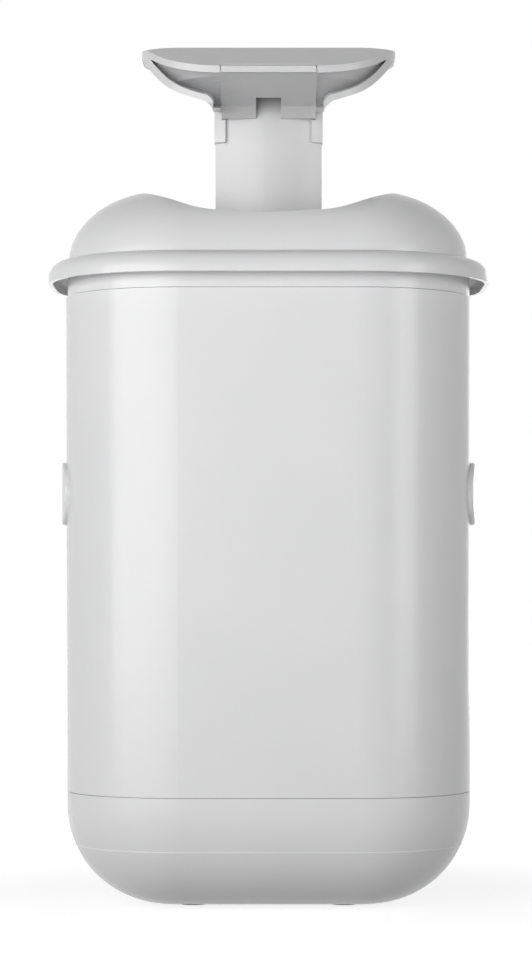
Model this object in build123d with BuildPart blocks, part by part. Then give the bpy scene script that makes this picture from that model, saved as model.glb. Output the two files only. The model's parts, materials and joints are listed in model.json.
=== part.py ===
from build123d import *
import os
from math import radians, tan

# Pail for dog waste: a bowl-bottomed pail with a lift-off body, a hinged dome lid
# and a push plunger. Millimetres, +Z up, origin under the middle of the pail,
# -Y is the front. Everything is drawn with the plunger pulled up and the lid shut.

os.makedirs("parts", exist_ok=True)

# --- Driving dimensions --------------------------------------------------------
wall = 2.6  # moulded wall of the large shells
gap = 0.5  # clearance between nested shells

body_half_w = 126.5  # half width of the body at its top edge
body_half_d = 90.0  # half depth of the body at its top edge
body_corner = 72.0  # plan corner radius at the top edge
body_draft = 0.8  # how much narrower each side is at the foot of the body
low_half_w = body_half_w - body_draft
low_half_d = body_half_d - body_draft
low_corner = body_corner - body_draft

floor_z = 1.2  # underside of the base, above the rubber feet
base_round = 62.0  # radius between the base's wall and its flat
base_seam_z = 71.3  # top edge of the base's front and back aprons
tab_low_z = 48.4  # lower edge of the body's side tabs
tab_half = 31.8  # half width of a side tab
tab_splay = 2.0  # corner chamfer at a tab's root
tab_gap = 0.4
body_top_z = 378.4
collar_low_z = 378.8
collar_top_z = 392.0
collar_inset = 1.0

brim_low_z = 387.0
brim_top_z = 400.6
brim_half_w = 137.4
brim_half_d = 101.4
brim_corner = 83.0
brim_round = 10.2
dome_half_w = 125.0
dome_half_d = 89.0
dome_corner = 70.5
dome_low_z = 399.0
dome_reach = 57.5  # how far in the dome's edge curve runs
dome_rise = 45.0  # how high the dome's edge curve rises
dome_top_z = dome_low_z + dome_rise
valley_radius = 190.0
valley_low_z = 425.2

travel = 88.0  # stroke of the plunger, drawn pulled up
grip_half_w = 78.8
grip_front_y = -76.0
grip_back_y = 44.0
grip_corner = 49.5
crown_front_z = 425.9  # top edge of the grip's lip in the middle, plunger down
crown_slope = 0.5  # how steeply the grip's top rises behind its lip
well_gap = 0.7
well_floor_z = 402.4

stem_half_w = 33.3
stem_half_d = 22.0
stem_side = 14.0  # half depth of the stem's flat sides
stem_wall = 3.0

throat_half_w = 60.0
throat_half_d = 42.0
throat_corner = 24.0
throat_top_z = 394.0
flap_axis_x = 64.0
flap_axis_z = 320.0
foot_low_z = 354.0

hinge_y = 95.0
hinge_z = 383.4
hinge_pin_r = 1.6
running = 0.05  # radial running clearance of the pins

button_z = 256.5
button_tall = 39.0
button_long = 78.0
button_proud = 2.8
fin_half_in = 27.0  # inner edge of the two fins in front of the stem
fin_half_out = 33.9
fin_thick = 1.9
fin_low_z = 388.5


def plan(inset, half_w=body_half_w, half_d=body_half_d, corner=body_corner):
    """Rounded rectangle outline of a shell, drawn a distance inside it."""
    RectangleRounded(2 * (half_w - inset), 2 * (half_d - inset), corner - inset)


def low_plan(inset):
    """Outline of the pail at the foot of the body."""
    plan(inset, low_half_w, low_half_d, low_corner)


def dome_plan(inset):
    """Outline of the lid's dome at its foot."""
    plan(inset, dome_half_w, dome_half_d, dome_corner)


def prism(outline, inset, low, high):
    """Upright solid on one of the outlines above."""
    with BuildPart() as body:
        with BuildSketch(Plane.XY.offset(low)):
            outline(inset)
        extrude(amount=high - low)
    return body.part


def ring(outline, outer, inner, low, high):
    """Upright wall between two insets of an outline."""
    with BuildPart() as body:
        with BuildSketch(Plane.XY.offset(low)):
            outline(outer)
        extrude(amount=high - low)
        with BuildSketch(Plane.XY.offset(low)):
            outline(inner)
        extrude(amount=high - low, mode=Mode.SUBTRACT)
    return body.part


def tub_form(inset):
    """Closed bowl shape of the base: an upright wall rounded into a flat."""
    with BuildPart() as form:
        with BuildSketch(Plane.XY.offset(floor_z + inset)):
            low_plan(inset)
        extrude(amount=base_seam_z + 20 - floor_z - inset)
        fillet(form.faces().sort_by(Axis.Z)[0].edges(), base_round - inset)
    return form.part


def body_form(inset):
    """Closed shape of the body above the base seam, a little wider upwards."""
    with BuildPart() as form:
        with BuildSketch(Plane.XY.offset(base_seam_z + 0.3)):
            low_plan(inset)
        with BuildSketch(Plane.XY.offset(body_top_z)):
            plan(inset)
        loft()
    return form.part


def dome_form(inset, drop=0.0):
    """Closed shape of the lid's dome: a quarter ellipse carried round its plan."""
    reach = dome_reach - inset
    rise = dome_rise - inset
    low = dome_low_z - drop
    half_w = dome_half_w - inset
    half_d = dome_half_d - inset
    corner = dome_corner - inset
    with BuildPart() as form:
        corner_x = half_w - corner
        corner_y = half_d - corner
        with BuildLine() as path:
            Line((0, -half_d), (corner_x, -half_d))
            CenterArc((corner_x, -corner_y), corner, -90, 90)
            Line((half_w, -corner_y), (half_w, corner_y))
            CenterArc((corner_x, corner_y), corner, 0, 90)
            Line((corner_x, half_d), (-corner_x, half_d))
            CenterArc((-corner_x, corner_y), corner, 90, 90)
            Line((-half_w, corner_y), (-half_w, -corner_y))
            CenterArc((-corner_x, -corner_y), corner, 180, 90)
            Line((-corner_x, -half_d), (0, -half_d))
        section = Plane(origin=(0, -half_d, low), x_dir=(0, -1, 0), z_dir=(-1, 0, 0))
        with BuildSketch(section):
            with BuildLine():
                EllipticalCenterArc((-reach, 0), reach, rise, start_angle=0, arc_size=90)
                Polyline((-reach, rise), (-reach - 2, rise), (-reach - 2, 0), (0, 0))
            make_face()
        sweep(path=path.wire())
        with BuildSketch(Plane.XY.offset(low)):
            dome_plan(inset + reach + 1)
        extrude(amount=rise)
    return form.part


def valley_form(lift):
    """Straight round-bottomed valley that runs through the lid from front to back."""
    with BuildPart() as form:
        with Locations((0, 0, valley_low_z + valley_radius + lift)):
            Cylinder(valley_radius, 300, rotation=(90, 0, 0))
    return form.part


def stem_plan(grow):
    """Section of the plunger's stem: flat sides, bowed front and back."""
    side = stem_half_w + grow
    flat = stem_side + grow
    bow = stem_half_d + grow
    with BuildLine() as edge:
        ThreePointArc((-side, -flat), (0, -bow), (side, -flat))
        Line((side, -flat), (side, flat))
        ThreePointArc((side, flat), (0, bow), (-side, flat))
        Line((-side, flat), (-side, -flat))
    make_face(edge.edges())


def fin_plan(grow):
    """Section of the two fins that hug the front corners of the stem."""
    with BuildSketch() as ears:
        stem_plan(fin_thick + grow)
        with Locations((0, 50)):
            Rectangle(120, 112 - 2 * grow, mode=Mode.SUBTRACT)
        Rectangle(2 * (fin_half_in - grow), 120, mode=Mode.SUBTRACT)
        Rectangle(2 * (fin_half_out + grow), 120, mode=Mode.INTERSECT)
    add(ears.sketch)


def tab_outline(grow):
    """Side view of a body tab, splayed at its root to meet the apron's corners."""
    half = tab_half + grow
    root_z = base_seam_z + 0.3 - grow
    with BuildLine() as edge:
        Polyline(
            (-half, tab_low_z - grow),
            (half, tab_low_z - grow),
            (half, root_z - tab_splay),
            (half + tab_splay, root_z),
            (half + tab_splay, root_z + 20),
            (-half - tab_splay, root_z + 20),
            (-half - tab_splay, root_z),
            (-half, root_z - tab_splay),
            close=True,
        )
    make_face(edge.edges())


def save(part, name):
    """Label a finished piece and write it."""
    part.label = name
    export_step(part, f"parts/{name}.step")


# --- Base ----------------------------------------------------------------------
foot_spots = [(x, y) for x in (-47.0, 47.0) for y in (-16.0, 16.0)]
foot_r = 9.0
foot_recess = 1.0
boss_r = 11.0
boss_top_z = 7.0
skirt_low_z = 38.0
skirt_top_z = 80.0
skirt_outer = 5.0
skirt_inner = skirt_outer + 2.2

with BuildPart() as base_bowl:
    add(tub_form(0))
    add(tub_form(wall), mode=Mode.SUBTRACT)
    with BuildSketch(Plane.XY.offset(base_seam_z)):
        low_plan(-5)
    extrude(amount=60, mode=Mode.SUBTRACT)
    # the side notches that take the body's tabs
    with BuildSketch(Plane.YZ.offset(-200)):
        tab_outline(tab_gap)
    extrude(amount=400, mode=Mode.SUBTRACT)
    # the skirt that the body slides over, with a catch slot on each side
    add(ring(low_plan, skirt_outer, skirt_inner, skirt_low_z, skirt_top_z))
    with Locations((0, 0, 68.5)):
        Box(400, 18, 9, mode=Mode.SUBTRACT)
    # thick pads over the feet for the ballast's screws
    with BuildSketch(Plane.XY.offset(floor_z)):
        with Locations(*foot_spots):
            Circle(boss_r)
    extrude(amount=boss_top_z - floor_z)
    with Locations(*[(x, y, floor_z) for x, y in foot_spots]):
        Cylinder(
            foot_r + 0.1, foot_recess, align=(Align.CENTER, Align.CENTER, Align.MIN), mode=Mode.SUBTRACT
        )
    with Locations(*[(x, y, floor_z + foot_recess) for x, y in foot_spots]):
        Cylinder(4.1, 2.4, align=(Align.CENTER, Align.CENTER, Align.MIN), mode=Mode.SUBTRACT)
        Cylinder(2.2, 10, align=(Align.CENTER, Align.CENTER, Align.MIN), mode=Mode.SUBTRACT)
save(base_bowl.part, "base_bowl")

with BuildPart() as base_feet:
    with Locations(*[(x, y, 0) for x, y in foot_spots]):
        Cylinder(foot_r, floor_z + foot_recess, align=(Align.CENTER, Align.CENTER, Align.MIN))
    chamfer(base_feet.faces().filter_by(Axis.Z).group_by(Axis.Z)[0].edges(), 0.4)
save(base_feet.part, "base_feet")

ballast_top_z = 14.0
with BuildPart() as ballast_plate:
    with BuildSketch(Plane.XY.offset(boss_top_z)):
        RectangleRounded(132, 62, 24)
        with Locations(*foot_spots):
            Circle(2.0, mode=Mode.SUBTRACT)
    extrude(amount=ballast_top_z - boss_top_z)
    chamfer(ballast_plate.faces().sort_by(Axis.Z)[-1].outer_wire().edges(), 0.8)
save(ballast_plate.part, "ballast_plate")

with BuildPart() as ballast_screws:
    with Locations(*[(x, y, floor_z + foot_recess) for x, y in foot_spots]):
        Cylinder(3.9, 2.3, align=(Align.CENTER, Align.CENTER, Align.MIN))
        Cylinder(1.95, 10.5, align=(Align.CENTER, Align.CENTER, Align.MIN))
save(ballast_screws.part, "ballast_screws")

# --- Inner bucket --------------------------------------------------------------
bucket_half_w = 98.0
bucket_half_d = 71.0
bucket_corner = 58.0
bucket_round = 48.0
bucket_top_z = 296.0
bucket_wall = 2.0


def bucket_plan(inset):
    """Outline of the inner bucket."""
    plan(inset, bucket_half_w, bucket_half_d, bucket_corner)


def bucket_form(inset):
    """Closed shape of the inner bucket, rounded at the bottom."""
    with BuildPart() as form:
        with BuildSketch(Plane.XY.offset(ballast_top_z + inset)):
            bucket_plan(inset)
        extrude(amount=bucket_top_z - ballast_top_z - inset)
        fillet(form.faces().sort_by(Axis.Z)[0].edges(), bucket_round - inset)
    return form.part


with BuildPart() as inner_bucket:
    add(bucket_form(0))
    add(bucket_form(bucket_wall), mode=Mode.SUBTRACT)
    # a turned-out rim that the bag folds over
    add(ring(bucket_plan, -3.6, bucket_wall, bucket_top_z - 2.0, bucket_top_z))
    add(ring(bucket_plan, -3.6, -1.8, bucket_top_z - 8.0, bucket_top_z))
save(inner_bucket.part, "inner_bucket")

with BuildPart() as bag_ring:
    add(ring(bucket_plan, -3.6, 4.4, bucket_top_z, bucket_top_z + 2.2))
    add(ring(bucket_plan, 2.3, 4.4, bucket_top_z - 7.0, bucket_top_z))
    fillet(bag_ring.faces().sort_by(Axis.Z)[-1].edges(), 0.8)
save(bag_ring.part, "bag_ring")

# --- Body ----------------------------------------------------------------------
collar_boss_r = 4.6
collar_bosses = [(sx * 100.8, sy * 64.3) for sx in (-1, 1) for sy in (-1, 1)]
guide_inner_x = 102.3  # button bracket's plate, clear of the bucket's rim
guide_outer_x = 104.3
guide_bosses = [(y, z) for z in (button_z - 27.0, button_z + 27.0) for y in (-37.0, 37.0)]
post_end_x = 126.58  # where a latch bar's posts meet the back of the button
window_long = button_long + 1.0
window_tall = button_tall + 1.0


def body_envelope(inset):
    """Outline that the body's bosses are trimmed to."""
    plan(inset + 1.2)


def slot_prism(long, tall, near, far, side):
    """Pill-shaped prism along X on one side of the pail, at the button's height."""
    with BuildPart() as form:
        with BuildSketch(Plane.YZ.offset(side * near)):
            with Locations((0, button_z)):
                RectangleRounded(long, tall, tall / 2 - 0.01)
        extrude(amount=side * (far - near))
    return form.part


with BuildPart() as body_shell:
    add(body_form(0))
    # side tabs that run down into the base's notches
    with BuildPart(mode=Mode.PRIVATE) as tabs:
        add(tub_form(0))
        with BuildSketch(Plane.YZ.offset(-200)):
            tab_outline(0)
        extrude(amount=400, mode=Mode.INTERSECT)
        with Locations((0, 0, base_seam_z + 0.5)):
            Box(400, 400, 60, align=(Align.CENTER, Align.CENTER, Align.MIN), mode=Mode.SUBTRACT)
    add(tabs.part)
    add(tub_form(wall), mode=Mode.SUBTRACT)
    add(body_form(wall), mode=Mode.SUBTRACT)
    for side in (-1, 1):
        add(slot_prism(window_long, window_tall, 100, 140, side), mode=Mode.SUBTRACT)
    # screw bosses for the button guides
    for side in (-1, 1):
        with BuildSketch(Plane.YZ.offset(side * guide_outer_x)):
            with Locations(*guide_bosses):
                Circle(3.5)
        extrude(amount=side * 17)
    add(ring(body_envelope, 0, -40, base_seam_z, body_top_z), mode=Mode.SUBTRACT)
    for side in (-1, 1):
        with BuildSketch(Plane.YZ.offset(side * guide_outer_x)):
            with Locations(*guide_bosses):
                Circle(1.2)
        extrude(amount=side * 9, mode=Mode.SUBTRACT)
    # screw bosses for the collar
    with BuildSketch(Plane.XY.offset(body_top_z - 22)):
        with Locations(*collar_bosses):
            Circle(collar_boss_r)
            Circle(1.3, mode=Mode.SUBTRACT)
    extrude(amount=22)
save(body_shell.part, "body_shell")

# --- Collar and throat ---------------------------------------------------------
collar_open_w = 71.0
collar_open_d = 51.0
collar_open_r = 30.0
knuckle_r = 4.0
collar_knuckle = (34.0, 46.0)  # span of the collar's hinge barrels from the middle
lid_knuckle = (21.4, 33.4)  # span of the lid's hinge barrels
screw_r = 1.3
funnel_screw_spots = [(sx * 77.0, sy * 22.0) for sx in (-1, 1) for sy in (-1, 1)]


def knuckles(span, radius):
    """A pair of round bars on the lid's hinge axis, mirrored left and right."""
    with BuildPart() as form:
        with BuildSketch(Plane.YZ.offset(span[0])):
            with Locations((hinge_y, hinge_z)):
                Circle(radius)
        extrude(amount=span[1] - span[0])
        mirror(about=Plane.YZ)
    return form.part


def webs(span, y_low, y_high, z_low, z_high):
    """A pair of blocks that join the hinge barrels to the collar or the lid."""
    with BuildPart() as form:
        with Locations(((span[0] + span[1]) / 2, (y_low + y_high) / 2, (z_low + z_high) / 2)):
            Box(span[1] - span[0], y_high - y_low, z_high - z_low)
        mirror(about=Plane.YZ)
    return form.part


with BuildPart() as collar_ring:
    add(ring(plan, collar_inset, collar_inset + wall, collar_low_z, collar_top_z))
    # a skirt that locates the collar inside the body
    add(ring(plan, wall + gap, wall + gap + 2.0, body_top_z - 12, collar_low_z + 4))
    with Locations(*[(x, y, body_top_z - 20) for x, y in collar_bosses]):
        Cylinder(
            collar_boss_r + 0.5,
            collar_low_z - body_top_z + 20,
            align=(Align.CENTER, Align.CENTER, Align.MIN),
            mode=Mode.SUBTRACT,
        )
    with BuildSketch(Plane.XY.offset(collar_top_z - wall)):
        plan(collar_inset)
        RectangleRounded(2 * collar_open_w, 2 * collar_open_d, collar_open_r, mode=Mode.SUBTRACT)
    extrude(amount=wall)
    # posts that stand on the body's bosses
    with BuildSketch(Plane.XY.offset(collar_low_z)):
        with Locations(*collar_bosses):
            Circle(collar_boss_r - 0.6)
    extrude(amount=collar_top_z - collar_low_z)
    with Locations(*[(x, y, collar_top_z) for x, y in collar_bosses]):
        CounterBoreHole(screw_r + 0.2, 2.8, 2.0)
    with Locations(*[(x, y, collar_top_z) for x, y in funnel_screw_spots]):
        Hole(screw_r)
    # hinge barrels at the back
    add(knuckles(collar_knuckle, knuckle_r))
    add(webs(collar_knuckle, body_half_d - 2, hinge_y, hinge_z - knuckle_r, hinge_z + knuckle_r - 0.6))
    add(knuckles((collar_knuckle[0] - 2, collar_knuckle[1] + 2), hinge_pin_r), mode=Mode.SUBTRACT)
save(collar_ring.part, "collar_ring")

with BuildPart() as collar_screws:
    with Locations(*[(x, y, collar_top_z - 2.0) for x, y in collar_bosses]):
        Cylinder(2.6, 1.8, align=(Align.CENTER, Align.CENTER, Align.MIN))
        Cylinder(screw_r - 0.05, 26, align=(Align.CENTER, Align.CENTER, Align.MAX))
save(collar_screws.part, "collar_screws")

with BuildPart() as hinge_pins:
    add(knuckles((lid_knuckle[0], collar_knuckle[1]), hinge_pin_r))
save(hinge_pins.part, "hinge_pins")

funnel_wall = 2.2
funnel_low_z = 311.0
cheek_half_w = 69.5
flap_pin_r = 1.5


def throat_plan(inset):
    """Outline of the throat that the bag drops through."""
    plan(inset, throat_half_w, throat_half_d, throat_corner)


with BuildPart() as throat_funnel:
    with BuildSketch(Plane.XY.offset(collar_top_z)):
        RectangleRounded(164, 124, 42)
    extrude(amount=throat_top_z - collar_top_z)
    with BuildSketch(Plane.XY.offset(flap_axis_z + 8)):
        throat_plan(-funnel_wall)
    extrude(amount=throat_top_z - flap_axis_z - 8)
    # front and back cheeks that carry the flap pins
    for side in (-1, 1):
        with BuildSketch(Plane.XZ.offset(side * (throat_half_d + funnel_wall / 2))):
            with Locations((0, (funnel_low_z + flap_axis_z + 12) / 2)):
                Rectangle(2 * cheek_half_w, flap_axis_z + 12 - funnel_low_z)
            with Locations((-flap_axis_x, flap_axis_z), (flap_axis_x, flap_axis_z)):
                Circle(flap_pin_r, mode=Mode.SUBTRACT)
        extrude(amount=funnel_wall / 2, both=True)
    with BuildSketch(Plane.XY.offset(flap_axis_z + 8)):
        throat_plan(0)
    extrude(amount=100, mode=Mode.SUBTRACT)
    with Locations(*[(x, y, throat_top_z) for x, y in funnel_screw_spots]):
        CounterBoreHole(screw_r + 0.2, 2.8, 1.3)
    top_edges = throat_funnel.edges().filter_by_position(Axis.Z, throat_top_z, throat_top_z)
    fillet(top_edges.sort_by(SortBy.LENGTH)[-8:], 0.6)
save(throat_funnel.part, "throat_funnel")

with BuildPart() as funnel_screws:
    with Locations(*[(x, y, throat_top_z - 1.3) for x, y in funnel_screw_spots]):
        Cylinder(2.6, 1.2, align=(Align.CENTER, Align.CENTER, Align.MIN))
        Cylinder(screw_r, 3.2, align=(Align.CENTER, Align.CENTER, Align.MAX))
save(funnel_screws.part, "funnel_screws")

# --- Flaps ---------------------------------------------------------------------
flap_thick = 2.4
flap_half_d = 41.0
flap_barrel_half = 33.0
flap_barrel_r = 3.5
lip_end_x = 0.2
lip_deep = 9.8
lip_thick = 5.2
flap_tip_x = 3.0
flap_step_x = 57.0

with BuildPart() as flap_pins:
    with BuildSketch(Plane.XZ.offset(-(throat_half_d + funnel_wall + 2))):
        with Locations((-flap_axis_x, flap_axis_z), (flap_axis_x, flap_axis_z)):
            Circle(flap_pin_r)
    extrude(amount=2 * (throat_half_d + funnel_wall + 2))
save(flap_pins.part, "flap_pins")

spring_wire = 0.65
spring_turns = 5
with BuildPart() as flap_springs:
    with BuildPart(mode=Mode.PRIVATE) as one_spring:
        with BuildSketch(Plane.XZ):
            for turn in range(spring_turns):
                with Locations((2.5, turn * 1.22)):
                    Circle(spring_wire)
        revolve(axis=Axis.Z)
    for side_x in (-1, 1):
        for start_y in (-34.6, 40.2):
            add(one_spring.part.moved(Location((side_x * flap_axis_x, start_y, flap_axis_z), (90, 0, 0))))
save(flap_springs.part, "flap_springs")


def flap(side):
    """One spring flap, from its hinge barrel to its tip near the middle."""
    with BuildPart() as form:
        with BuildSketch(Plane.XY.offset(flap_axis_z - flap_thick / 2)):
            with Locations((side * (flap_step_x + flap_tip_x) / 2, 0)):
                Rectangle(flap_step_x - flap_tip_x, 2 * flap_half_d)
            with Locations((side * (flap_step_x + flap_axis_x) / 2, 0)):
                Rectangle(flap_axis_x - flap_step_x, 2 * flap_barrel_half)
        extrude(amount=flap_thick)
        with BuildSketch(Plane.XZ.offset(-flap_barrel_half)):
            with Locations((side * flap_axis_x, flap_axis_z)):
                Circle(flap_barrel_r)
        extrude(amount=2 * flap_barrel_half)
        # two stiffening ribs underneath
        for y in (-22, 22):
            with Locations((side * 36, y, flap_axis_z - flap_thick / 2 - 1.6)):
                Box(44, 2, 3.2)
        with BuildSketch(Plane.XZ.offset(-flap_half_d)):
            with Locations((side * flap_axis_x, flap_axis_z)):
                Circle(flap_pin_r + running)
        extrude(amount=2 * flap_half_d, mode=Mode.SUBTRACT)
    return form.part


def flap_lip(side):
    """Soft lip clipped over a flap's edge."""
    with BuildPart() as form:
        with BuildSketch(Plane.XZ.offset(-flap_half_d)):
            with Locations((side * (lip_end_x + lip_deep / 2), flap_axis_z)):
                RectangleRounded(lip_deep, lip_thick, 1.2)
            with Locations((side * (flap_tip_x + 10), flap_axis_z)):
                Rectangle(20, flap_thick, mode=Mode.SUBTRACT)
        extrude(amount=2 * flap_half_d)
    return form.part


for side, word in ((-1, "left"), (1, "right")):
    save(flap(side), f"flap_{word}")
    save(flap_lip(side), f"flap_lip_{word}")

# --- Side buttons and latches --------------------------------------------------
bar_inner_x = 113.0
bar_outer_x = 115.5
bar_half = 8.0
bar_low_z = 60.0
bar_top_z = 270.0
nose_x = low_half_w - skirt_inner - 0.3
guide_half = 46.0
button_spring_r = 5.0


def mid_plan(inset):
    """Outline of the body at the height of the buttons."""
    share = (button_z - base_seam_z) / (body_top_z - base_seam_z)
    short = body_draft * (1 - share)
    plan(inset, body_half_w - short, body_half_d - short, body_corner - short)


def button(side):
    """Pill-shaped push button, hollow behind, with a flange that stops it in its window."""
    low = button_z - button_tall
    high = button_z + button_tall
    with BuildPart() as form:
        add(slot_prism(button_long, button_tall, 100, 140, side))
        add(ring(mid_plan, -button_proud, wall + 2.4, low, high), mode=Mode.INTERSECT)
        fillet(form.faces().sort_by(Axis.X)[-1 if side > 0 else 0].outer_wire().edges(), 1.2)
        with BuildPart(mode=Mode.PRIVATE) as flange:
            add(slot_prism(window_long + 4, window_tall + 4, 100, 140, side))
            add(ring(mid_plan, wall + 0.5, wall + 2.4, low, high), mode=Mode.INTERSECT)
        add(flange.part)
        with BuildPart(mode=Mode.PRIVATE) as hollow:
            add(slot_prism(button_long - 5, button_tall - 5, 100, 140, side))
            add(ring(mid_plan, -0.4, wall + 10, low, high), mode=Mode.INTERSECT)
        add(hollow.part, mode=Mode.SUBTRACT)
    return form.part


def latch_bar(side):
    """Flat bar from the button down to the catch slot in the base's skirt."""
    with BuildPart() as form:
        with Locations((side * (bar_inner_x + bar_outer_x) / 2, 0, (bar_low_z + bar_top_z) / 2)):
            Box(bar_outer_x - bar_inner_x, 2 * bar_half, bar_top_z - bar_low_z)
        # posts that carry the button
        with BuildSketch(Plane.YZ.offset(side * bar_outer_x)):
            with Locations((0, button_z - 9), (0, button_z + 9)):
                Circle(3)
        extrude(amount=side * (post_end_x - bar_outer_x))
        # wedge-topped nose for the catch slot
        with BuildSketch(Plane.XZ.offset(-bar_half + 1)):
            with BuildLine():
                Polyline(
                    (side * bar_outer_x, 63.5),
                    (side * (nose_x - 1.4), 63.5),
                    (side * nose_x, 65.5),
                    (side * nose_x, 68.5),
                    (side * bar_outer_x, 70.5),
                    close=True,
                )
            make_face()
        extrude(amount=2 * bar_half - 2)
    return form.part


def button_spring(side):
    """Close coil between the guide's plate and the latch bar."""
    length = bar_inner_x - guide_outer_x
    turns = 5
    with BuildPart() as form:
        with BuildSketch(Plane.XY):
            for turn in range(turns):
                share = turn / (turns - 1)
                x = guide_outer_x + 1.0 + share * (length - 2.0)
                with Locations((x, button_spring_r)):
                    Circle(1.0)
            with Locations((guide_outer_x + length / 2, button_spring_r)):
                Rectangle(length - 2.0, 0.8)
        revolve(axis=Axis.X)
    turned = form.part if side > 0 else form.part.mirror(Plane.YZ)
    return turned.moved(Location((0, 0, button_z)))


def button_guide(side):
    """Bracket behind a button: a plate with two side cheeks against the body's wall."""
    low = guide_bosses[0][1] - 5
    high = guide_bosses[-1][1] + 5
    with BuildPart() as form:
        with Locations((side * (guide_outer_x + 10), 0, (low + high) / 2)):
            Box(24, 2 * guide_half, high - low)
            Box(30, 2 * guide_half - 4.4, high - low + 2, mode=Mode.SUBTRACT)
        add(prism(mid_plan, wall + 0.3, low - 5, high + 5), mode=Mode.INTERSECT)
        with Locations((side * (guide_inner_x + guide_outer_x) / 2, 0, (low + high) / 2)):
            Box(guide_outer_x - guide_inner_x, 2 * guide_half, high - low)
        with BuildSketch(Plane.YZ.offset(side * guide_inner_x)):
            with Locations(*guide_bosses):
                Circle(1.5)
        extrude(amount=side * 4, mode=Mode.SUBTRACT)
    return form.part


for side, word in ((-1, "left"), (1, "right")):
    save(button(side), f"button_{word}")
    save(latch_bar(side), f"latch_bar_{word}")
    save(button_spring(side), f"button_spring_{word}")
    save(button_guide(side), f"button_guide_{word}")

with BuildPart() as guide_screws:
    for side in (-1, 1):
        with BuildSketch(Plane.YZ.offset(side * guide_inner_x)):
            with Locations(*guide_bosses):
                Circle(2.6)
        extrude(amount=-side * 1.6)
        with BuildSketch(Plane.YZ.offset(side * guide_inner_x)):
            with Locations(*guide_bosses):
                Circle(1.15)
        extrude(amount=side * 9)
save(guide_screws.part, "guide_screws")

# --- Lid -----------------------------------------------------------------------
well_wall = 2.4
liner_low_z = 396.2
liner_top_z = 398.4
liner_inset = 3.2
lid_screw_spots = [(-98.0, 0.0), (98.0, 0.0)]
lid_boss_r = 4.0


def brim_plan(inset):
    """Outline of the lid's brim."""
    plan(inset, brim_half_w, brim_half_d, brim_corner)


def grip_plan(inset):
    """Outline of the plunger's grip seen from above."""
    with Locations((0, (grip_front_y + grip_back_y) / 2)):
        plan(inset, grip_half_w, (grip_back_y - grip_front_y) / 2, grip_corner)


def brim_form(inset, low):
    """Closed shape of the brim: an upright edge rounded over at the top."""
    with BuildPart() as form:
        with BuildSketch(Plane.XY.offset(low)):
            brim_plan(inset)
        extrude(amount=brim_top_z - inset - low)
        fillet(form.faces().sort_by(Axis.Z)[-1].edges(), brim_round - inset)
    return form.part


with BuildPart() as lid_shell:
    add(brim_form(0, brim_low_z))
    add(dome_form(0))
    add(brim_form(wall, brim_low_z - 1), mode=Mode.SUBTRACT)
    add(prism(dome_plan, wall, brim_low_z, dome_low_z + 0.1), mode=Mode.SUBTRACT)
    add(dome_form(wall), mode=Mode.SUBTRACT)
    # the well that the grip sinks into, and two bosses for the liner's screws
    with BuildPart(mode=Mode.PRIVATE) as inside:
        add(prism(grip_plan, -well_gap - well_wall, well_floor_z - well_wall, dome_top_z))
        with Locations(*[(x, y, liner_top_z) for x, y in lid_screw_spots]):
            Cylinder(lid_boss_r, 60, align=(Align.CENTER, Align.CENTER, Align.MIN))
        with BuildPart(mode=Mode.PRIVATE) as room:
            add(dome_form(0.4))
            add(prism(dome_plan, 3, liner_top_z, dome_low_z + 1))
        add(room.part, mode=Mode.INTERSECT)
    add(inside.part)
    with BuildPart(mode=Mode.PRIVATE) as valley:
        add(valley_form(0))
        with Locations((0, grip_back_y - grip_corner, 0)):
            Box(400, 400, 2000, align=(Align.CENTER, Align.MAX, Align.CENTER), mode=Mode.INTERSECT)
    add(valley.part, mode=Mode.SUBTRACT)
    add(prism(grip_plan, -well_gap, well_floor_z, dome_top_z + 20), mode=Mode.SUBTRACT)
    with BuildSketch(Plane.XY.offset(well_floor_z - 10)):
        stem_plan(0.6)
        fin_plan(0.6)
    extrude(amount=20, mode=Mode.SUBTRACT)
    with Locations(*[(x, y, liner_top_z) for x, y in lid_screw_spots]):
        Cylinder(1.2, 14, align=(Align.CENTER, Align.CENTER, Align.MIN), mode=Mode.SUBTRACT)
    # hinge barrels at the back
    add(knuckles(lid_knuckle, knuckle_r))
    add(webs(lid_knuckle, hinge_y - 2.5, brim_half_d - wall + 0.3, hinge_z, brim_top_z - wall + 0.3))
    add(knuckles((lid_knuckle[0] - 2, lid_knuckle[1] + 2), hinge_pin_r + running), mode=Mode.SUBTRACT)
save(lid_shell.part, "lid_shell")

with BuildPart() as lid_liner:
    add(prism(dome_plan, liner_inset, liner_low_z, liner_top_z))
    with BuildSketch(Plane.XY.offset(liner_low_z)):
        stem_plan(3.2)
    extrude(amount=liner_top_z - liner_low_z, mode=Mode.SUBTRACT)
    with Locations(*[(x, y, liner_top_z) for x, y in lid_screw_spots]):
        Hole(screw_r + 0.2)
    chamfer(lid_liner.faces().sort_by(Axis.Z)[0].outer_wire().edges(), 0.8)
save(lid_liner.part, "lid_liner")

with BuildPart() as lid_screws:
    with Locations(*[(x, y, liner_low_z) for x, y in lid_screw_spots]):
        Cylinder(2.8, 1.6, align=(Align.CENTER, Align.CENTER, Align.MAX))
        Cylinder(1.15, 14, align=(Align.CENTER, Align.CENTER, Align.MIN))
save(lid_screws.part, "lid_screws")

with BuildPart() as lid_gasket:
    with BuildSketch(Plane.XY.offset(throat_top_z + 0.3)):
        RectangleRounded(142, 102, 36)
        RectangleRounded(132, 92, 31, mode=Mode.SUBTRACT)
    extrude(amount=liner_low_z - throat_top_z - 0.3)
    fillet(lid_gasket.faces().sort_by(Axis.Z)[0].edges(), 0.7)
save(lid_gasket.part, "lid_gasket")

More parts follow.
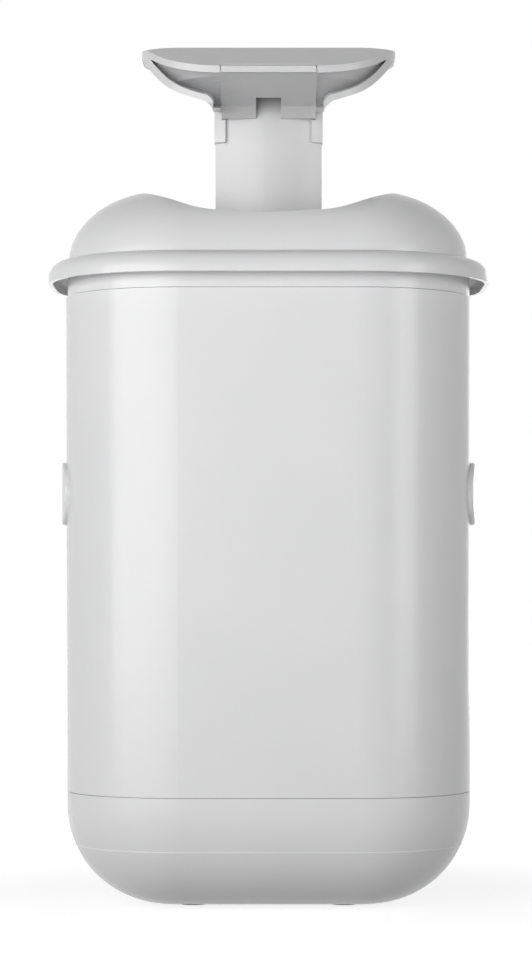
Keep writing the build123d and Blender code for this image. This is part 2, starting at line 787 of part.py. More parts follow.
guide_low_z = 386.0
with BuildPart() as plunger_guide:
    with BuildSketch(Plane.XY.offset(guide_low_z)):
        stem_plan(2.8)
    extrude(amount=liner_top_z - guide_low_z)
    with BuildSketch(Plane.XY.offset(liner_top_z)):
        stem_plan(7.0)
    extrude(amount=well_floor_z - well_wall - liner_top_z - 0.6)
    with BuildSketch(Plane.XY.offset(guide_low_z)):
        stem_plan(0.5)
    extrude(amount=20, mode=Mode.SUBTRACT)
    with BuildSketch(Plane.XY.offset(fin_low_z - 0.8)):
        fin_plan(0.3)
    extrude(amount=20, mode=Mode.SUBTRACT)
save(plunger_guide.part, "plunger_guide")

wiper_low_z = well_floor_z - well_wall - 0.6
with BuildPart() as stem_wiper:
    with BuildSketch(Plane.XY.offset(wiper_low_z)):
        stem_plan(5.0)
    extrude(amount=0.6)
    with BuildSketch(Plane.XY.offset(wiper_low_z)):
        stem_plan(0.3)
        fin_plan(0.3)
    extrude(amount=0.6, mode=Mode.SUBTRACT)
save(stem_wiper.part, "stem_wiper")

# --- Plunger, drawn pulled up by its stroke -------------------------------------
skin = 2.2
band = 4.2
grip_wall = 2.4
rake = 12.0  # degrees that the grip's underside rises towards the back
rake_y = -47.0  # where the wings' outline is drawn
rim_wall = 3.4  # how thick the wings look along their lower rim
neck_side_x = 34.1
neck_low_z = 402.4
notch_half = 29.4
notch_top_z = 426.2
web_gap = 0.06  # around the web and its strip, which are welded into the grip
web_low_z = well_floor_z + 0.4
strip_half = 28.9
web_front_y = grip_front_y - 0.6
stem_top_z = 428.0 + travel
stem_low_z = 362.0


def grip_outline(shift):
    """Front view of the grip's wings, drawn a wall thickness inside for the pockets."""
    scale = 1 - shift / grip_half_w
    low = travel + shift
    with BuildLine() as edge:
        neck = ThreePointArc(
            (neck_side_x, neck_low_z + low), (36.3 * scale, 408.6 + low), (42.0 * scale, 411.6 + low)
        )
        wing = Spline(
            neck @ 1,
            (60.0 * scale, 417.8 + low),
            (72.6 * scale, 428.0 + low),
            ((grip_half_w + 0.5) * scale, 441.0 + low),
            tangents=[(1, 0.3), (0.15, 1)],
        )
        Line(wing @ 1, (wing.position_at(1).X, 460 + travel))
        Line((wing.position_at(1).X, 460 + travel), (0, 460 + travel))
        Line((0, 460 + travel), (0, neck_low_z + low))
        Line((0, neck_low_z + low), neck @ 0)
    with BuildSketch() as half:
        make_face(edge.edges())
    add(half.sketch)
    add(half.sketch.mirror(Plane.YZ))


def raked(shift, near_y, far_y):
    """Grip outline carried back along the rake of its underside."""
    lift = (near_y - rake_y) * tan(radians(rake))
    with BuildPart() as form:
        with BuildSketch(Plane(origin=(0, near_y, lift), x_dir=(1, 0, 0), z_dir=(0, -1, 0))):
            grip_outline(shift)
        run = Vector(0, far_y - near_y, (far_y - near_y) * tan(radians(rake)))
        extrude(amount=run.length, dir=run)
    return form.part


def crown_form(drop):
    """Closed shape under the grip's top: the dome, sloped down to the lip in front."""
    lip_z = crown_front_z + travel - drop
    with BuildPart() as form:
        add(dome_form(0, drop - travel))
        with BuildSketch(Plane.YZ.offset(-150)):
            with BuildLine():
                Polyline(
                    (grip_front_y - 40, lip_z - 40 * crown_slope),
                    (0, lip_z - grip_front_y * crown_slope),
                    (0, lip_z + 200),
                    (grip_front_y - 40, lip_z + 200),
                    close=True,
                )
            make_face()
        extrude(amount=300, mode=Mode.SUBTRACT)
    return form.part


# the flared core, as half width, front, corner radius and height of each section
core_sections = (
    (76.4, -73.6, 47.0, 446.0),
    (72.0, -73.6, 44.0, 431.0),
    (61.0, -66.0, 38.0, 421.5),
    (44.0, -38.0, 26.0, 412.0),
    (37.0, -22.0, 20.0, 402.0),
)


def core_form(inset):
    """Flared core between the finger hollows, wide under the top and narrow at the neck."""
    with BuildPart() as form:
        for half_w, front_y, corner, z in core_sections:
            with BuildSketch(Plane.XY.offset(z + travel)):
                with Locations((0, (150 + front_y + inset) / 2)):
                    RectangleRounded(2 * (half_w - inset), 150 - front_y - inset, corner - inset)
        loft(ruled=True)
    return form.part


with BuildPart() as grip:
    # wings that flare out of the neck, with a finger hollow all round the core
    with BuildPart(mode=Mode.PRIVATE) as hull:
        add(raked(0, grip_front_y, grip_back_y))
        add(crown_form(skin - 0.2), mode=Mode.INTERSECT)
    with BuildPart(mode=Mode.PRIVATE) as finger_room:
        add(raked(rim_wall, grip_front_y - 1, grip_back_y + 1))
        add(core_form(0), mode=Mode.SUBTRACT)
    with BuildPart(mode=Mode.PRIVATE) as core_room:
        add(raked(grip_wall, grip_front_y - 1, grip_back_y + 1))
        add(core_form(3.0), mode=Mode.INTERSECT)
    add(hull.part)
    add(finger_room.part, mode=Mode.SUBTRACT)
    add(core_room.part, mode=Mode.SUBTRACT)
    # cheeks of the neck, in front of and beside the stem
    with BuildPart(mode=Mode.PRIVATE) as cheeks:
        with Locations(*[(side * (neck_side_x + notch_half) / 2, -35, 430 + travel) for side in (-1, 1)]):
            Box(neck_side_x - notch_half, 50, 70)
        add(core_form(-0.4), mode=Mode.INTERSECT)
    add(cheeks.part)
    add(hull.part, mode=Mode.INTERSECT)
    # top skin and the band round its edge
    with BuildPart(mode=Mode.PRIVATE) as cap:
        add(crown_form(0))
        add(crown_form(skin), mode=Mode.SUBTRACT)
    add(cap.part)
    with BuildPart(mode=Mode.PRIVATE) as edge_band:
        add(ring(grip_plan, 0, grip_wall, 400 + travel, 450 + travel))
        with BuildPart(mode=Mode.PRIVATE) as band_room:
            add(crown_form(0))
            add(crown_form(band), mode=Mode.SUBTRACT)
        add(band_room.part, mode=Mode.INTERSECT)
    add(edge_band.part)
    add(prism(grip_plan, 0, well_floor_z + well_gap + travel, 450 + travel), mode=Mode.INTERSECT)
    # fins down the front corners of the stem
    with BuildSketch(Plane.XY.offset(fin_low_z + travel)):
        fin_plan(0)
    extrude(amount=414 - fin_low_z)
    # room for the stem and its web
    with BuildSketch(Plane.XY.offset(380 + travel)):
        stem_plan(0.1)
    extrude(amount=stem_top_z + 0.1 - 380 - travel, mode=Mode.SUBTRACT)
    with BuildSketch(Plane.XY.offset(well_floor_z + travel)):
        with Locations((0, -50)):
            Rectangle(2 * notch_half, 90)
    extrude(amount=notch_top_z - well_floor_z, mode=Mode.SUBTRACT)
    with Locations((0, grip_front_y, 425 + travel)):
        Box(2 * (strip_half + web_gap), 6.4, 30, mode=Mode.SUBTRACT)
save(grip.part, "grip")

with BuildPart() as plunger_stem:
    with BuildSketch(Plane.XY.offset(stem_low_z)):
        stem_plan(0)
    extrude(amount=stem_top_z - stem_low_z)
    with BuildSketch(Plane.XY.offset(stem_low_z)):
        stem_plan(-stem_wall)
    extrude(amount=stem_top_z - stem_low_z - 3, mode=Mode.SUBTRACT)
    # web that flares forward from the stem to the strip under the grip's lip
    with BuildPart(mode=Mode.PRIVATE) as web:
        with BuildSketch(Plane.YZ.offset(web_gap - notch_half)):
            with BuildLine():
                Polyline(
                    (-stem_half_d + 6, 396.0 + travel),
                    (-stem_half_d - 9, 409.0 + travel),
                    (web_front_y + 3, 421.9 + travel),
                    (web_front_y, 421.9 + travel),
                    (web_front_y, 434 + travel),
                    (web_front_y + 3.4, 434 + travel),
                    (web_front_y + 3.4, 425.3 + travel),
                    (-stem_half_d - 9, 412.4 + travel),
                    (-stem_half_d + 6, 402.0 + travel),
                    close=True,
                )
            make_face()
        extrude(amount=2 * (notch_half - web_gap))
        add(crown_form(0.15), mode=Mode.INTERSECT)
        add(prism(grip_plan, -0.35, web_low_z + travel, 450 + travel), mode=Mode.INTERSECT)
        with Locations(*[(side * (strip_half + 5), web_front_y, 420 + travel) for side in (-1, 1)]):
            Box(10, 8.4, 60, mode=Mode.SUBTRACT)
        with Locations((0, -31.5, 410 + travel)):
            Box(15.6, 21, 60, mode=Mode.SUBTRACT)
    add(web.part)
    # bosses for the foot's screws
    with BuildSketch(Plane.XY.offset(stem_low_z)):
        with Locations((-20, 0), (20, 0)):
            Circle(4)
    extrude(amount=18)
    with BuildSketch(Plane.XY.offset(stem_low_z + 9)):
        Rectangle(2 * stem_half_w - 2, 2.4)
    extrude(amount=9)
    with BuildSketch(Plane.XY.offset(stem_low_z)):
        with Locations((-20, 0), (20, 0)):
            Circle(1.2)
    extrude(amount=14, mode=Mode.SUBTRACT)
save(plunger_stem.part, "plunger_stem")

foot_half_w = 36.0
foot_half_d = 30.0
pad_thick = 2.0
with BuildPart() as plunger_foot:
    with BuildSketch(Plane.XY.offset(foot_low_z + pad_thick)):
        RectangleRounded(2 * foot_half_w, 2 * foot_half_d, 18)
    extrude(amount=stem_low_z - foot_low_z - pad_thick)
    chamfer(plunger_foot.faces().sort_by(Axis.Z)[-1].edges(), 3.0)
    with Locations((-20, 0, foot_low_z + pad_thick), (20, 0, foot_low_z + pad_thick)):
        Cylinder(3.0, 3.0, align=(Align.CENTER, Align.CENTER, Align.MIN), mode=Mode.SUBTRACT)
        Cylinder(1.5, 10, align=(Align.CENTER, Align.CENTER, Align.MIN), mode=Mode.SUBTRACT)
save(plunger_foot.part, "plunger_foot")

with BuildPart() as foot_screws:
    with Locations((-20, 0, foot_low_z + pad_thick + 1.0), (20, 0, foot_low_z + pad_thick + 1.0)):
        Cylinder(2.8, 1.9, align=(Align.CENTER, Align.CENTER, Align.MIN))
        Cylinder(1.15, 16, align=(Align.CENTER, Align.CENTER, Align.MIN))
save(foot_screws.part, "foot_screws")

with BuildPart() as foot_pad:
    with BuildSketch(Plane.XY.offset(foot_low_z)):
        RectangleRounded(2 * foot_half_w, 2 * foot_half_d, 18)
    extrude(amount=pad_thick)
    fillet(foot_pad.faces().sort_by(Axis.Z)[0].edges(), 1.2)
save(foot_pad.part, "foot_pad")
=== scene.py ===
import json
import math

import bmesh
import bpy
import numpy as np
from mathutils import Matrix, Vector

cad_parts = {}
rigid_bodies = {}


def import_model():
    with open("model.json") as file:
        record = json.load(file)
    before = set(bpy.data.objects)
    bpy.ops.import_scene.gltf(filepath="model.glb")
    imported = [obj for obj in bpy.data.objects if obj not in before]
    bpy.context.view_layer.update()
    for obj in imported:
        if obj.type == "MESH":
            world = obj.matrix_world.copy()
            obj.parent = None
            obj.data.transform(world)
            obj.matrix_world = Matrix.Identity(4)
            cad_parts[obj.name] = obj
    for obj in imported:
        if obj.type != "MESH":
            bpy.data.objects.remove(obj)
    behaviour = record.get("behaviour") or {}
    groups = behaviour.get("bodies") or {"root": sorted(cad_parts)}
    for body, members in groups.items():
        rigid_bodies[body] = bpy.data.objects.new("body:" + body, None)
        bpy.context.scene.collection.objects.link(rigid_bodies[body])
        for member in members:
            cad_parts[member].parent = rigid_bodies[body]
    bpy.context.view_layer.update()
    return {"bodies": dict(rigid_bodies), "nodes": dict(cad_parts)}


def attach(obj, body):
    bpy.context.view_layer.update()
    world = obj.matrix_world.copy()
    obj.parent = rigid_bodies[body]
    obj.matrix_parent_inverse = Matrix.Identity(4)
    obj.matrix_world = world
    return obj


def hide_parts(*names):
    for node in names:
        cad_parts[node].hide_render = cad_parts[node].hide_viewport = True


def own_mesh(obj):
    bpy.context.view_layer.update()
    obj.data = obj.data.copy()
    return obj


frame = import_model()
nodes = frame["nodes"]
nodeBody = {name: next(body for body, empty in frame["bodies"].items() if node.parent == empty)
            for name, node in nodes.items()}
print("frame loaded with", len(nodes), "nodes")


class Socket:
    # wraps one node output, so that an expression on values adds its Math nodes

    def __init__(self, tree, out):
        self.tree = tree
        self.out = out

    def math(self, operation, first, second=None, clamp=False):
        inputs = {0: first} if second is None else {0: first, 1: second}
        return self.tree.node("ShaderNodeMath", {"operation": operation, "use_clamp": clamp}, inputs)

    def __add__(self, other):
        return self.math("ADD", self, other)

    def __radd__(self, other):
        return self.math("ADD", other, self)

    def __sub__(self, other):
        return self.math("SUBTRACT", self, other)

    def __rsub__(self, other):
        return self.math("SUBTRACT", other, self)

    def __mul__(self, other):
        return self.math("MULTIPLY", self, other)

    def __rmul__(self, other):
        return self.math("MULTIPLY", other, self)

    def clamped(self):
        return self.math("ADD", self, 0.0, clamp=True)


class Nodes:
    # a material's or the world's node tree: node() makes any node from its type, settings and inputs

    def __init__(self, owner):
        owner.use_nodes = True
        self.nodeTree = owner.node_tree
        self.nodeTree.nodes.clear()

    def node(self, kind, settings=None, inputs=None, output=0):
        made = self.nodeTree.nodes.new(kind)
        for key, value in (settings or {}).items():
            setattr(made, key, value)
        for key, value in (inputs or {}).items():
            socket = made.inputs[key]
            if isinstance(value, Socket):
                self.nodeTree.links.new(value.out, socket)
            else:
                socket.default_value = value
        return Socket(self, made.outputs[output]) if len(made.outputs) else None

    def ramp(self, value, low, high):
        return self.node(
            "ShaderNodeMapRange", {"interpolation_type": "SMOOTHSTEP"},
            {"Value": value, "From Min": low, "From Max": high})

    def seen(self):
        # 1 for rays that reach the camera straight, by a reflection or through glass
        rays = [self.node("ShaderNodeLightPath", output=ray)
                for ray in ("Is Camera Ray", "Is Glossy Ray", "Is Transmission Ray")]
        return (rays[0] + rays[1] + rays[2]).clamped()


class Finish(Nodes):
    # one material and the patterns that its look is mixed from
    bevelSamples = 4
    edgeTurn = (0.02, 0.3)  # how much turn begins to count as an edge, and how much counts in full

    def __init__(self, name):
        self.material = bpy.data.materials.new(name)
        super().__init__(self.material)

    def place(self):
        return self.node("ShaderNodeTexCoord", output="Object")

    def noise(self, scale, detail=2.0, roughness=0.5, stretch=None):
        where = self.place()
        if stretch is not None:
            where = self.node("ShaderNodeMapping", None, {"Vector": where, "Scale": stretch})
        return self.node(
            "ShaderNodeTexNoise", None,
            {"Vector": where, "Scale": scale, "Detail": detail, "Roughness": roughness})

    def mixed(self, share, first, second):
        return self.node(
            "ShaderNodeMix", {"data_type": "RGBA"},
            {"Factor": share, 6: first, 7: second}, output=2)

    def edges(self, width):
        # how sharply the surface turns within this width: 0 on a flat, towards 1 on an edge
        rounded = self.node("ShaderNodeBevel", {"samples": self.bevelSamples}, {"Radius": width})
        flat = self.node("ShaderNodeNewGeometry", output="Normal")
        turn = self.node(
            "ShaderNodeVectorMath", {"operation": "DOT_PRODUCT"}, {0: rounded, 1: flat}, output="Value")
        return self.ramp(1 - turn, *self.edgeTurn)

    def finished(self, inputs):
        shader = self.node("ShaderNodeBsdfPrincipled", None, inputs)
        self.node("ShaderNodeOutputMaterial", None, {"Surface": shader})
        return self.material


def rgb(red, green, blue):
    return (red, green, blue, 1.0)


# glossy moulded plastic
# colour = tone mottled by a slow cloud, paler on worn edges
# roughness = base + speck + wipe marks + worn edges; bump = soft orange peel + speck
def mouldedPlastic(name, look):
    finish = Finish(name)
    cloud = finish.noise(look["cloudScale"], 3.0)
    speck = finish.noise(look["grainScale"], 4.0, 0.6)
    wipes = finish.noise(look["wipeScale"], 2.0, 0.5, stretch=look["wipeStretch"])
    worn = finish.edges(look["edgeWidth"])
    tone = finish.mixed(finish.ramp(cloud, *look["cloudTurn"]), look["tone"], look["cloudTone"])
    tone = finish.mixed(worn * look["edgeShare"], tone, look["edgeTone"])
    gloss = look["roughness"] + (speck - 0.5) * look["speckDull"]
    gloss = gloss + finish.ramp(wipes, *look["wipeTurn"]) * look["wipeDull"] + worn * look["edgeDull"]
    peel = finish.noise(look["peelScale"], 1.5)
    relief = peel + speck * look["speckRelief"]
    bump = finish.node(
        "ShaderNodeBump", None,
        {"Strength": look["peelStrength"], "Distance": look["peelDepth"], "Height": relief})
    return finish.finished({
        "Base Color": tone, "Roughness": gloss.clamped(), "Normal": bump,
        "IOR": look["ior"], "Specular IOR Level": 0.5})


shellLook = {
    "tone": rgb(0.80, 0.80, 0.805), "cloudTone": rgb(0.785, 0.787, 0.795),
    "edgeTone": rgb(0.86, 0.86, 0.86), "edgeShare": 0.6, "edgeWidth": 0.0006,
    "cloudScale": 14.0, "grainScale": 900.0, "wipeScale": 160.0, "peelScale": 420.0,
    "peelStrength": 0.05, "peelDepth": 0.0004, "roughness": 0.24, "ior": 1.49,
    "cloudTurn": (0.35, 0.65), "wipeTurn": (0.5, 0.9), "wipeStretch": (1.0, 1.0, 0.07),
    "speckDull": 0.06, "speckRelief": 0.25, "wipeDull": 0.015, "edgeDull": 0.12,
}
innerLook = dict(
    shellLook, tone=rgb(0.62, 0.63, 0.64), cloudTone=rgb(0.59, 0.60, 0.615),
    edgeTone=rgb(0.72, 0.72, 0.72), roughness=0.42, peelStrength=0.12)
bucketLook = dict(
    shellLook, tone=rgb(0.30, 0.315, 0.33), cloudTone=rgb(0.275, 0.29, 0.305),
    edgeTone=rgb(0.42, 0.43, 0.44), roughness=0.40, peelStrength=0.15)
# the shell's white plastic made darker for the grip and plunger stem: painted shade, a shaded copy of the same
# plastic
shadedPlungerLook = dict(
    shellLook, tone=rgb(0.70, 0.70, 0.705), cloudTone=rgb(0.685, 0.687, 0.695),
    edgeTone=rgb(0.76, 0.76, 0.76), roughness=0.30)


# soft moulded rubber
# colour = near black, dusty in patches, greyer on worn edges; roughness = base + grain; bump = grain
def softRubber(name, look):
    finish = Finish(name)
    dust = finish.noise(look["dustScale"], 4.0, 0.6)
    grain = finish.noise(look["grainScale"], 3.0)
    worn = finish.edges(look["edgeWidth"])
    dusty = finish.ramp(dust, *look["dustTurn"]) * look["dustShare"]
    tone = finish.mixed(dusty, look["tone"], look["dustTone"])
    tone = finish.mixed(worn * look["edgeShare"], tone, look["edgeTone"])
    gloss = look["roughness"] + (grain - 0.5) * look["grainDull"]
    bump = finish.node(
        "ShaderNodeBump", None,
        {"Strength": look["grainStrength"], "Distance": look["grainDepth"], "Height": grain})
    return finish.finished({"Base Color": tone, "Roughness": gloss.clamped(), "Normal": bump})


rubberLook = {
    "tone": rgb(0.045, 0.046, 0.048), "dustTone": rgb(0.10, 0.10, 0.105), "edgeTone": rgb(0.14, 0.14, 0.145),
    "dustScale": 60.0, "dustTurn": (0.42, 0.75), "dustShare": 0.5, "grainScale": 1600.0,
    "grainDull": 0.15, "grainStrength": 0.2, "grainDepth": 0.0002, "edgeWidth": 0.0005,
    "edgeShare": 0.5, "roughness": 0.68,
}


# zinc plated steel
# colour = tone, duller in patches; roughness = base + drawn lines + spangle; bump = drawn lines
def platedSteel(name, look):
    finish = Finish(name)
    spangle = finish.node(
        "ShaderNodeTexVoronoi", None, {"Vector": finish.place(), "Scale": look["spangleScale"]})
    lines = finish.noise(look["lineScale"], 3.0, 0.6, stretch=look["lineStretch"])
    dull = finish.noise(look["patchScale"], 3.0)
    tone = finish.mixed(finish.ramp(dull, *look["patchTurn"]), look["tone"], look["dullTone"])
    gloss = look["roughness"] + (lines - 0.5) * look["lineDull"] + spangle * look["spangleDull"]
    bump = finish.node(
        "ShaderNodeBump", None,
        {"Strength": look["lineStrength"], "Distance": look["lineDepth"], "Height": lines})
    return finish.finished({
        "Base Color": tone, "Metallic": 1.0, "Roughness": gloss.clamped(), "Normal": bump})


steelLook = {
    "tone": rgb(0.62, 0.62, 0.61), "dullTone": rgb(0.48, 0.48, 0.475),
    "spangleScale": 700.0, "spangleDull": 0.06, "lineScale": 900.0, "lineStretch": (1.0, 1.0, 0.1),
    "lineDull": 0.16, "lineStrength": 0.12, "lineDepth": 0.00015, "patchScale": 90.0,
    "patchTurn": (0.4, 0.7), "roughness": 0.30,
}

finishes = {
    "white_shell": mouldedPlastic("white moulded plastic", shellLook),
    "inner_plastic": mouldedPlastic("pale grey moulded plastic", innerLook),
    "bucket_plastic": mouldedPlastic("bucket grey plastic", bucketLook),
    "soft_rubber": softRubber("soft black rubber", rubberLook),
    "steel": platedSteel("zinc plated steel", steelLook),
}
for node in nodes.values():
    for slot in node.material_slots:
        slot.material = finishes[slot.material.name.split(".")[0]]
# the grip and plunger stem take the darker copy of the white plastic: painted shade on them
shadedPlungerFinish = mouldedPlastic("white plastic darkened as painted shade", shadedPlungerLook)
for name in ("grip", "plunger_stem"):
    nodes[name].material_slots[0].material = shadedPlungerFinish
print("finishes made:", ", ".join(finishes))

studioLook = {
    "floorTone": rgb(0.42, 0.42, 0.42), "grainTone": rgb(0.38, 0.38, 0.38),
    "grainScale": 60.0, "grainShare": 0.15,
    # the glow near the object is dimmer than far off: painted shade on the floor around it
    "shadedGlowNear": 0.82, "glowFar": 1.0, "nearReach": 0.12, "farReach": 0.42, "fill": 0.22, "floorHalf": 7.0,
    "floorLines": 9, "roughness": 0.9, "lampTarget": (0.0, 0.0, 0.25),
    "skyAbove": 0.06, "skyBelow": 0.42, "skyTurn": (-0.3, 0.6),
    "keyPower": 49.0, "keyPlace": (-1.28, -1.66, 0.28), "keySize": (2.6, 1.7),
    "frontPower": 1.8, "frontPlace": (0.1, -3.0, 0.20), "frontSize": (0.9, 1.0),
    "backPower": 9.0, "backPlace": (0.4, 2.6, 0.30), "backSize": (2.0, 1.2),
    "rightPower": 11.0, "rightPlace": (1.55, -1.35, 0.40), "rightSize": (0.8, 1.5),
}


# mid grey paper that glows white where it is seen straight on or in a reflection, a little weaker
# beside the object as painted shade, so its shadow stays; to other rays it glows faintly, and from below it is
# clear
def paperFinish(look):
    finish = Finish("pale studio paper")
    grain = finish.noise(look["grainScale"], 3.0)
    tone = finish.mixed(grain * look["grainShare"], look["floorTone"], look["grainTone"])
    away = finish.node("ShaderNodeVectorMath", {"operation": "LENGTH"}, {0: finish.place()}, output="Value")
    clear = finish.ramp(away, look["nearReach"], look["farReach"])
    # weaker glow near the object: painted shade on the floor around its foot
    level = look["shadedGlowNear"] + clear * (look["glowFar"] - look["shadedGlowNear"])
    seen = finish.seen()
    fill = clear * look["fill"]
    glow = finish.mixed(seen * level + (1 - seen) * fill, rgb(0.0, 0.0, 0.0), rgb(1.0, 1.0, 1.0))
    return finish.finished({
        "Base Color": tone, "Roughness": look["roughness"], "Specular IOR Level": 0.0, "Emission Color": glow,
        "Emission Strength": 1.0, "Alpha": 1 - finish.node("ShaderNodeNewGeometry", output="Backfacing")})


# level floor: a flat grid of x and y at height 0, wide enough to run out of sight in the white surroundings
def flatFloor(look):
    across = np.linspace(-look["floorHalf"], look["floorHalf"], look["floorLines"])
    x, y = np.meshgrid(across, across)
    return np.stack([x, y, 0 * x], axis=-1)


# one mesh from a grid of points, or from several grids alike; a closed one is merged at its seams and poles
def meshFromGrid(name, grids, finish, closedColumns=False):
    grids = grids.reshape((-1,) + grids.shape[-3:])
    count, rows, columns = grids.shape[:3]
    index = np.arange(count * rows * columns).reshape(count, rows, columns)
    if closedColumns:
        index = np.concatenate([index, index[:, :, :1]], axis=2)
    corners = [index[:, :-1, :-1], index[:, :-1, 1:], index[:, 1:, 1:], index[:, 1:, :-1]]
    quads = np.stack(corners, axis=-1).reshape(-1, 4)
    mesh = bpy.data.meshes.new(name)
    mesh.from_pydata(grids.reshape(-1, 3).tolist(), [], quads.tolist())
    if closedColumns:
        edit = bmesh.new()
        edit.from_mesh(mesh)
        bmesh.ops.remove_doubles(edit, verts=edit.verts, dist=1e-7)
        bmesh.ops.recalc_face_normals(edit, faces=edit.faces)
        edit.to_mesh(mesh)
        edit.free()
    mesh.update()
    mesh.polygons.foreach_set("use_smooth", np.ones(len(mesh.polygons), bool))
    mesh.materials.append(finish)
    piece = bpy.data.objects.new(name, mesh)
    bpy.context.scene.collection.objects.link(piece)
    return piece


# the separate round pieces of a CAD node about one axis (0, 1 or 2): for each, its centre across that axis,
# the distances of its corners from the centre and their places along the axis
def roundPieces(node, axis, reach):
    flat = np.empty(len(node.data.vertices) * 3)
    node.data.vertices.foreach_get("co", flat)
    turn = np.array(node.matrix_world)
    left = flat.reshape(-1, 3) @ turn[:3, :3].T + turn[:3, 3]
    across = [number for number in range(3) if number != axis]
    found = []
    while len(left):
        away = np.abs(left - left[0])
        mine = (away[:, across].max(axis=1) < reach[0]) & (away[:, axis] < reach[1])
        corners = left[mine]
        centre = (corners[:, across].min(axis=0) + corners[:, across].max(axis=0)) / 2
        spread = np.linalg.norm(corners[:, across] - centre, axis=1)
        found.append((centre, spread, corners[:, axis]))
        left = left[~mine]
    return found


# points given as two distances across an axis and one along it, in the object's own x, y, z order
def placed(axis, first, second, along):
    order = [first, second]
    order.insert(axis, along)
    return np.stack(np.broadcast_arrays(*order), axis=-1)


# wire coil: a ring of points carried along a helix, closed at both ends
# angle = share of the length x turns; place along = a straight rise, nearly flat in the end turns;
# wire radius = full, falling as the root of the distance to the nearer end
def coilGrid(look, axis, centre, outer, begin, end):
    steps = look["turns"] * look["stepsEach"]
    share = np.linspace(0.0, 1.0, steps + 1)[:, None]
    ring = np.linspace(0.0, 2 * math.pi, look["ringSteps"], endpoint=False)[None, :]
    wire = look["wire"] * np.sqrt(np.clip(np.minimum(share, 1 - share) * steps / look["taper"], 0.0, 1.0))
    angle = share * look["turns"] * 2 * math.pi
    travel = np.clip((share - look["flatEnds"]) / (1 - 2 * look["flatEnds"]), 0.0, 1.0)
    along = begin + look["wire"] + (end - begin - 2 * look["wire"]) * (
        (1 - look["endRise"]) * travel + look["endRise"] * share)
    out = outer - look["wire"] + wire * np.cos(ring)
    return placed(
        axis, centre[0] + out * np.cos(angle), centre[1] + out * np.sin(angle), along + wire * np.sin(ring))


def coils(node, body, look):
    grids = [
        coilGrid(look, look["axis"], centre, spread.max(), along.min(), along.max())
        for centre, spread, along in roundPieces(nodes[node], look["axis"], look["reach"])]
    piece = meshFromGrid("coil_" + node, np.stack(grids), finishes["steel"], closedColumns=True)
    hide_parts(node)
    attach(piece, body)
    print("wire coils for", node + ":", len(grids))
    return piece


buttonCoil = {
    "axis": 0, "reach": (0.02, 0.02), "turns": 6, "stepsEach": 40, "ringSteps": 12, "wire": 0.00055,
    "taper": 5.0, "flatEnds": 0.1, "endRise": 0.15, "stroke": 0.003}
flapCoil = {
    "axis": 1, "reach": (0.01, 0.012), "turns": 5, "stepsEach": 32, "ringSteps": 10, "wire": 0.00038,
    "taper": 5.0, "flatEnds": 0.12, "endRise": 0.15}
coils("flap_springs", "body", flapCoil)
for side in ("left", "right"):
    coil = coils("button_spring_" + side, "body", buttonCoil)
    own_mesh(coil)


# screw: a pan head with a cross recess and a threaded shank with a pointed end, turned about its axis
# head depth = recess inside the cross + a faint dome; shank radius = shank x helical ripple x point
def screwGrid(look, axis, centre, spread, along):
    headRadius = spread.max()
    shank = spread[spread < look["shankShare"] * headRadius].max()
    rim = along[spread > look["rimShare"] * headRadius]
    down = 1.0 if along.max() - rim.max() > rim.min() - along.min() else -1.0
    top, under = (rim.min(), rim.max()) if down > 0 else (rim.max(), rim.min())
    tip = along.max() if down > 0 else along.min()
    thick, length = abs(under - top), abs(tip - under)
    angle = np.linspace(0.0, 2 * math.pi, look["columns"], endpoint=False)[None, :]
    face = np.linspace(0.0, 1.0, look["faceRows"])[:, None] * (headRadius - look["bevel"])
    arms = np.minimum(np.abs(np.cos(angle)), np.abs(np.sin(angle))) * face
    inside = np.clip((look["armHalf"] * headRadius - arms) / look["soft"] + 0.5, 0.0, 1.0)
    inside = inside * np.clip((look["armReach"] * headRadius - face) / look["soft"] + 0.5, 0.0, 1.0)
    faceDepth = inside * look["recess"] * thick + look["bevel"] * look["dome"] * (face / headRadius) ** 2
    sideRadius = np.array([headRadius, headRadius, headRadius, shank])[:, None]
    sideDepth = np.array([look["bevel"], thick * look["sideShare"], thick, thick])[:, None]
    travel = np.linspace(look["threadStart"], 1.0, look["shankRows"])[:, None]
    ripple = 1 - look["thread"] * (0.5 + 0.5 * np.cos(2 * math.pi * travel * length / look["pitch"] - angle))
    point = np.clip((1 - travel) * length / (shank * look["pointLength"]), 0.0, 1.0)
    radius = np.concatenate([face + 0 * angle, sideRadius + 0 * angle, shank * ripple * point])
    depth = np.concatenate([faceDepth, sideDepth + 0 * angle, thick + travel * length + 0 * angle])
    return placed(
        axis, centre[0] + radius * np.cos(angle), centre[1] + radius * np.sin(angle), top + down * depth)


screwLook = {
    "reach": (0.008, 0.030), "columns": 48, "faceRows": 16, "shankRows": 80, "shankShare": 0.8,
    "rimShare": 0.95, "sideShare": 0.7, "bevel": 0.0003, "dome": 0.5, "armHalf": 0.16, "armReach": 0.62,
    "soft": 0.0002, "recess": 0.62, "thread": 0.16, "threadStart": 0.02, "pitch": 0.0011,
    "pointLength": 1.2}
screwAxes = {
    "ballast_screws": 2, "collar_screws": 2, "funnel_screws": 2,
    "lid_screws": 2, "foot_screws": 2, "guide_screws": 0}
for name, axis in screwAxes.items():
    rounds = roundPieces(nodes[name], axis, screwLook["reach"])
    grids = [screwGrid(screwLook, axis, *found) for found in rounds]
    screws = meshFromGrid("recessed_" + name, np.stack(grids), finishes["steel"], closedColumns=True)
    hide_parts(name)
    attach(screws, nodeBody[name])
    print("screws for", name + ":", len(grids))

floor = meshFromGrid("studio_floor", flatFloor(studioLook), paperFinish(studioLook))

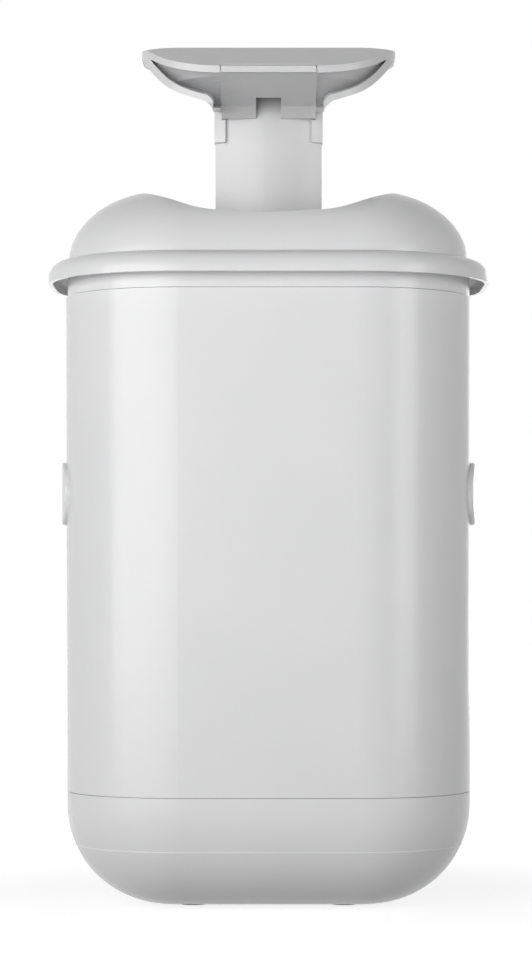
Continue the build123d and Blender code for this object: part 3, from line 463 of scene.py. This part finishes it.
world = bpy.data.worlds.new("studio")
bpy.context.scene.world = world
sky = Nodes(world)
# dimmer overhead than at the sides: a blend on how high each ray points
ray = sky.node("ShaderNodeTexCoord", output="Generated")
height = sky.node("ShaderNodeSeparateXYZ", None, {0: ray}, output="Z")
overhead = sky.ramp(height, *studioLook["skyTurn"])
above = sky.node("ShaderNodeBackground", None, {"Color": rgb(1, 1, 1), "Strength": studioLook["skyAbove"]})
below = sky.node("ShaderNodeBackground", None, {"Color": rgb(1, 1, 1), "Strength": studioLook["skyBelow"]})
soft = sky.node("ShaderNodeMixShader", None, {0: overhead, 1: below, 2: above})
white = sky.node("ShaderNodeBackground", None, {"Color": rgb(1, 1, 1), "Strength": 1.0})
shown = sky.node("ShaderNodeMixShader", None, {0: sky.seen(), 1: soft, 2: white})
sky.node("ShaderNodeOutputWorld", None, {"Surface": shown})


# area lamp turned to face the one target
def lamp(name, power, place, size):
    data = bpy.data.lights.new(name, "AREA")
    data.shape = "RECTANGLE"
    data.size, data.size_y = size
    data.energy = power
    obj = bpy.data.objects.new(name, data)
    obj.location = place
    obj.rotation_euler = (Vector(studioLook["lampTarget"]) - Vector(place)).to_track_quat("-Z", "Y").to_euler()
    bpy.context.scene.collection.objects.link(obj)


for part in ("key", "front", "right", "back"):
    lamp(part + "_lamp", studioLook[part + "Power"], studioLook[part + "Place"], studioLook[part + "Size"])

cameraLook = {
    "place": (0.0, -1.770, 0.201), "lens": 105.0, "sensor": 36.0, "shiftX": -0.0027, "shiftY": 0.107}
lensData = bpy.data.cameras.new("studio_camera")
lensData.lens = cameraLook["lens"]
lensData.sensor_width = cameraLook["sensor"]
lensData.shift_x = cameraLook["shiftX"]
lensData.shift_y = cameraLook["shiftY"]
camera = bpy.data.objects.new("studio_camera", lensData)
camera.location = cameraLook["place"]
camera.rotation_euler = (math.pi / 2, 0.0, 0.0)
bpy.context.scene.collection.objects.link(camera)
bpy.context.scene.camera = camera
bpy.context.scene.view_settings.view_transform = "Standard"
print("studio ready")
